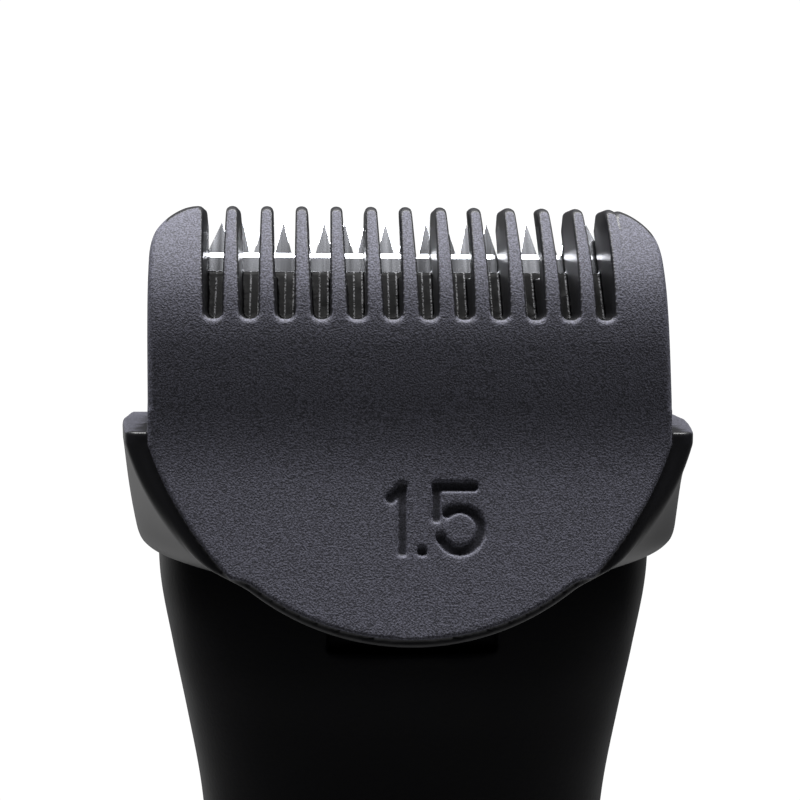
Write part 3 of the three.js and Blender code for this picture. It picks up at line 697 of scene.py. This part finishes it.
def front_cover(x, y, z):
    shell = shell_wall(x, y, z, 3.0)
    wall = round_and(shell, y - SPLIT + GAP / 2, 0.3)
    wall = np.minimum(wall, np.maximum(tongue(x, y, z, 0), z - SHELL_TOP + 1))
    recess = np.maximum(rounded_box(x, z - TOP + 35.05, 7.4, 3.05, 0.5), y - SHIFT + 16.0)
    return round_and(wall, -recess, 0.25)


def rear_cover(x, y, z):
    wall = round_and(shell_wall(x, y, z, 3.4), SPLIT + GAP / 2 - y, 0.3)
    wall = np.maximum(wall, -tongue(x, y, z, TONGUE_PLAY))
    for px, pz in SCREW_PLACES:
        away = np.hypot(x - px, z - pz)
        hole = np.minimum(np.maximum(away - 2.5, SCREW_SEAT - y), away - 1.4)
        wall = round_and(wall, -hole, 0.3)
    opening = np.maximum(rounded_box(x, z - BUTTON_Z, 6.35, 9.35, 3.0), SHIFT + 11.8 - y)
    wall = round_and(wall, -opening, 0.4)
    lamp = np.maximum(np.hypot(x, z - LIGHT_Z) - 1.45, SHIFT + 11 - y)
    return round_and(wall, -lamp, 0.3)


def base_cap(x, y, z):
    outer = grip(x, y, np.maximum(z, 0))
    cap = round_and(outer, z - CAP_TOP, 0.3)
    cap = round_and(cap, -z, 1.2)
    skirt = np.maximum(grip(x, y, np.maximum(z, 0), SHELL_WALL), 2.5 - z)
    cap = round_and(cap, -skirt, 0.2)
    return round_and(cap, 5.4 - np.hypot(x, y - SOCKET_Y), 0.4)


def power_button(x, y, z):
    """Push button with a soft edge and a shallow dish for the thumb, on a thin flange."""
    outline = rounded_box(x - BUTTON_X, z - BUTTON_Z, 6.0, 9.0, 2.7)
    cap = round_and(outline, y - BUTTON_FACE, 1.0)
    dish = 30.0 - np.sqrt(x * x + (y - BUTTON_FACE - 29.55) ** 2 + (z - BUTTON_Z) ** 2)
    cap = round_and(cap, dish, 0.6)
    cap = np.maximum(cap, SHIFT + 13.2 - y)
    flange = rounded_box(x, z - BUTTON_Z, (BUTTON_HIGH[0] - BUTTON_LOW[0]) / 2 - 0.05,
                         (BUTTON_HIGH[2] - BUTTON_LOW[2]) / 2 - 0.05, 2.5)
    flange = np.maximum(flange, np.abs(y - BUTTON_LOW[1] - 0.32) - 0.3)
    return np.minimum(cap, flange)


def along_blade(y, z):
    """How far down the blade from its cutting edge."""
    return -(y - EDGE_Y) * math.sin(BLADE_TILT) - (z - EDGE_Z) * math.cos(BLADE_TILT)


def on_blade(s, n):
    """Y and Z of a point s down the blade and n behind its front."""
    return (EDGE_Y - s * math.sin(BLADE_TILT) + n * math.cos(BLADE_TILT),
            EDGE_Z - s * math.cos(BLADE_TILT) - n * math.sin(BLADE_TILT))


def head_frame(x, y, z):
    """Nose under the blades: a wedge in side view, open inside for the cutter."""
    away = np.abs(x)
    outline = [
        (SHIFT - 15.6, SHELL_TOP + GAP), (SHIFT - 16.2, TOP - 15.5),
        on_blade(12.7, 1.5), on_blade(1.4, 1.5), on_blade(1.2, 2.7),
        (SHIFT - 3.2, TOP - 6.4), (SHIFT + 3.5, TOP - 11.4), (SHIFT + 9.5, TOP - 17.4),
        (SHIFT + 12.4, SHELL_TOP + GAP),
    ]
    body = round_and(polygon(y, z, outline), away - HEAD_HALF, 1.1)
    body = round_and(body, grip(x, y, SHELL_TOP + 0 * z), 0.5)
    s, n = along_blade(y, z), blade_depth(y, z)
    bay = np.maximum(np.maximum(away - BAY_HALF, n - 3.2), np.maximum(-2 - s, s - 9.0))
    carriage = [
        on_blade(4.9, 1), on_blade(9.0, 1), on_blade(9.0, 4.75),
        (SHIFT - 7.2, TOP - 19), (SHIFT - 7.2, TOP - 30),
        (SHIFT + 5, TOP - 30), (SHIFT + 5, TOP - 19), on_blade(4.9, 7.35),
    ]
    well = np.maximum(polygon(y, z, carriage), away - WELL_HALF)
    return round_and(body, -np.minimum(bay, well), 0.25)


def make_housing():
    reach, floor, roof = 24.5, 6.5, SHELL_TOP + 1
    # Name, field, box, step, most faces, body, slot and node of each moulded piece.
    pieces = (
        ("front_shell", front_cover, (-reach, SHIFT - 18.5, floor), (reach, SPLIT + 1, roof),
         SHELL_STEP, SHELL_FACES, "housing", "shell_plastic", "front_cover"),
        ("rear_shell", rear_cover, (-reach, SPLIT - 1, floor), (reach, SHIFT + 17.5, roof),
         SHELL_STEP, SHELL_FACES, "housing", "shell_plastic", "rear_cover"),
        ("bottom_cap", base_cap, (-19, SHIFT - 15, -1), (19, SHIFT + 16, 8),
         0.3, 90000, "housing", "trim_plastic", "base_cap"),
        ("head_nose", head_frame, (-21.5, SHIFT - 17, SHELL_TOP - 1), (21.5, SHIFT + 13.5, TOP),
         0.26, 90000, "housing", "head_plastic", "head_frame"),
        ("thumb_button", power_button, BUTTON_LOW - 0.6, BUTTON_HIGH + 0.6,
         0.2, 50000, "button", "trim_plastic", "power_button"),
    )
    for name, field, low, high, step, faces, body, slot, node in pieces:
        piece = field_mesh(name, field, np.array(low), np.array(high), step, faces)
        dress(piece, body, slot, node)


# ---------- fixed blade ----------
TOOTH_PITCH = 1.85
TOOTH_TIP, TOOTH_ROOT = -1.25, 2.75
TOOTH_ASIDE = 0.36
BLADE_HALF = 18.6
BLADE_END = 13.0
BLADE_THICK = 1.2
BLADE_SHOULDER, BLADE_CORNER = 2.9, 12.2  # ends of the plate's straight sides
TOOTH_HALF, END_TOOTH_HALF, TIP_HALF = 0.82, 1.3, 0.05
BLADE_HOLES = ((-16.3, 10.4), (16.3, 10.4))
BLADE_HOLE_RADIUS = 1.75
BEVEL_LOW, BEVEL_HIGH, BEVEL_DROP = 2.82, 2.3, 0.09


def blade_outline():
    """Toothed plate seen from the front: across, and down from the edge."""
    points = [(-BLADE_HALF, BLADE_CORNER), (-BLADE_HALF, BLADE_SHOULDER)]
    for number in range(-9, 10):
        middle = number * TOOTH_PITCH - TOOTH_ASIDE
        left = END_TOOTH_HALF if number == -9 else TOOTH_HALF
        right = END_TOOTH_HALF if number == 9 else TOOTH_HALF
        points += [(middle - left, TOOTH_ROOT - 0.2), (middle - TIP_HALF, TOOTH_TIP),
                   (middle + TIP_HALF, TOOTH_TIP), (middle + right, TOOTH_ROOT - 0.2)]
        if number < 9:
            points.append((middle + TOOTH_PITCH / 2, TOOTH_ROOT))
    points += [(BLADE_HALF, BLADE_SHOULDER), (BLADE_HALF, BLADE_CORNER)]
    return points + [(BLADE_HALF - 0.8, BLADE_END), (0.8 - BLADE_HALF, BLADE_END)]


def blade_solid():
    """The plate with its ground bevel below the teeth; coordinates across, down, into."""
    work = bmesh.new()
    face = work.faces.new([work.verts.new((x, s, 0)) for x, s in blade_outline()])
    grown = bmesh.ops.extrude_face_region(work, geom=[face])
    for vert in (item for item in grown["geom"] if isinstance(item, bmesh.types.BMVert)):
        vert.co.z = BLADE_THICK
    for level in (BEVEL_LOW, BEVEL_HIGH):
        bmesh.ops.bisect_plane(work, geom=work.verts[:] + work.edges[:] + work.faces[:],
                               plane_co=(0, level, 0), plane_no=(0, 1, 0))
    for vert in work.verts:
        if vert.co.z < 0.01 and vert.co.y < BEVEL_HIGH + 0.01:
            vert.co.z = BEVEL_DROP
    bmesh.ops.recalc_face_normals(work, faces=work.faces[:])
    mesh = bpy.data.meshes.new("cutting_plate")
    work.to_mesh(mesh)
    work.free()
    return mesh


def punch(piece, places, radius):
    """Round holes through a flat piece lying in its own X-Y plane."""
    work = bmesh.new()
    for x, y in places:
        bmesh.ops.create_cone(work, cap_ends=True, segments=48, radius1=radius, radius2=radius, depth=6,
                              matrix=Matrix.Translation((x, y, 0)))
    tool_mesh = bpy.data.meshes.new("punch")
    work.to_mesh(tool_mesh)
    work.free()
    tool = bpy.data.objects.new("punch", tool_mesh)
    bpy.context.scene.collection.objects.link(tool)
    cut = piece.modifiers.new("cut", "BOOLEAN")
    cut.operation = "DIFFERENCE"
    cut.solver = "EXACT"
    cut.object = tool
    apply_modifiers(piece)
    bpy.data.objects.remove(tool)
    bpy.data.meshes.remove(tool_mesh)


def make_fixed_blade():
    """The ground plate, set on the blade's slope."""
    piece = finish_mesh("cutting_plate", blade_solid())
    punch(piece, BLADE_HOLES, BLADE_HOLE_RADIUS)
    edge = piece.modifiers.new("edge", "BEVEL")
    edge.width = 0.03
    edge.segments = 2
    edge.limit_method = "ANGLE"
    edge.angle_limit = math.radians(25)
    apply_modifiers(piece)
    piece.data.transform(Matrix((
        (MM, 0, 0, 0),
        (0, -math.sin(BLADE_TILT) * MM, math.cos(BLADE_TILT) * MM, EDGE_Y * MM),
        (0, -math.cos(BLADE_TILT) * MM, -math.sin(BLADE_TILT) * MM, EDGE_Z * MM),
        (0, 0, 0, 1),
    )))
    piece.data.set_sharp_from_angle(angle=math.radians(4))
    dress(piece, "housing", "blade_steel", "fixed_blade")


make_comb()
make_housing()
make_fixed_blade()


# ---------- stage ----------
FLOOR_RADIUS = 0.29
HEAD = (0, 0, 0.15)
# Each light's name, place, size and power. All point at the head.
LIGHTS = (
    ("top", (0.0, -0.02, 0.72), (0.8, 0.12), 23.0),
    ("left", (-0.45, 0.55, 0.16), (0.5, 0.8), 0.85),
    ("right", (0.45, 0.55, 0.16), (0.5, 0.8), 0.32),
)


def make_stage():
    mesh = bpy.data.meshes.new("floor")
    work = bmesh.new()
    bmesh.ops.create_circle(work, cap_ends=True, radius=FLOOR_RADIUS, segments=96)
    work.to_mesh(mesh)
    work.free()
    floor = bpy.data.objects.new("floor", mesh)
    bpy.context.scene.collection.objects.link(floor)
    mesh.materials.append(studio_white("floor_white", (0.2, 0.2, 0.2), 0.9))


def area_light(name, place, target, size, power):
    data = bpy.data.lights.new(name, "AREA")
    data.shape = "RECTANGLE"
    data.size, data.size_y = size
    data.energy = power
    light = bpy.data.objects.new(name, data)
    bpy.context.scene.collection.objects.link(light)
    light.visible_camera = False
    light.location = place
    aim = Vector(target) - Vector(place)
    light.rotation_euler = aim.to_track_quat("-Z", "Y").to_euler()


def make_world():
    world = bpy.data.worlds.new("studio")
    bpy.context.scene.world = world
    world.use_nodes = True
    tree = world.node_tree
    shown = tree.nodes["Background"]
    shown.inputs["Color"].default_value = (1, 1, 1, 1)
    shown.inputs["Strength"].default_value = 1.05
    lit = tree.nodes.new("ShaderNodeBackground")
    lit.inputs["Color"].default_value = (0.97, 0.97, 1.0, 1)
    lit.inputs["Strength"].default_value = 0.03
    ray = tree.nodes.new("ShaderNodeLightPath")
    mix = tree.nodes.new("ShaderNodeMixShader")
    tree.links.new(ray.outputs["Is Camera Ray"], mix.inputs["Fac"])
    tree.links.new(lit.outputs[0], mix.inputs[1])
    tree.links.new(shown.outputs[0], mix.inputs[2])
    tree.links.new(mix.outputs[0], tree.nodes["World Output"].inputs["Surface"])


make_stage()
make_world()
for title, spot, size, power in LIGHTS:
    area_light(title, spot, HEAD, size, power)

scene = bpy.context.scene
scene.view_settings.view_transform = "Standard"
scene.view_settings.look = "None"
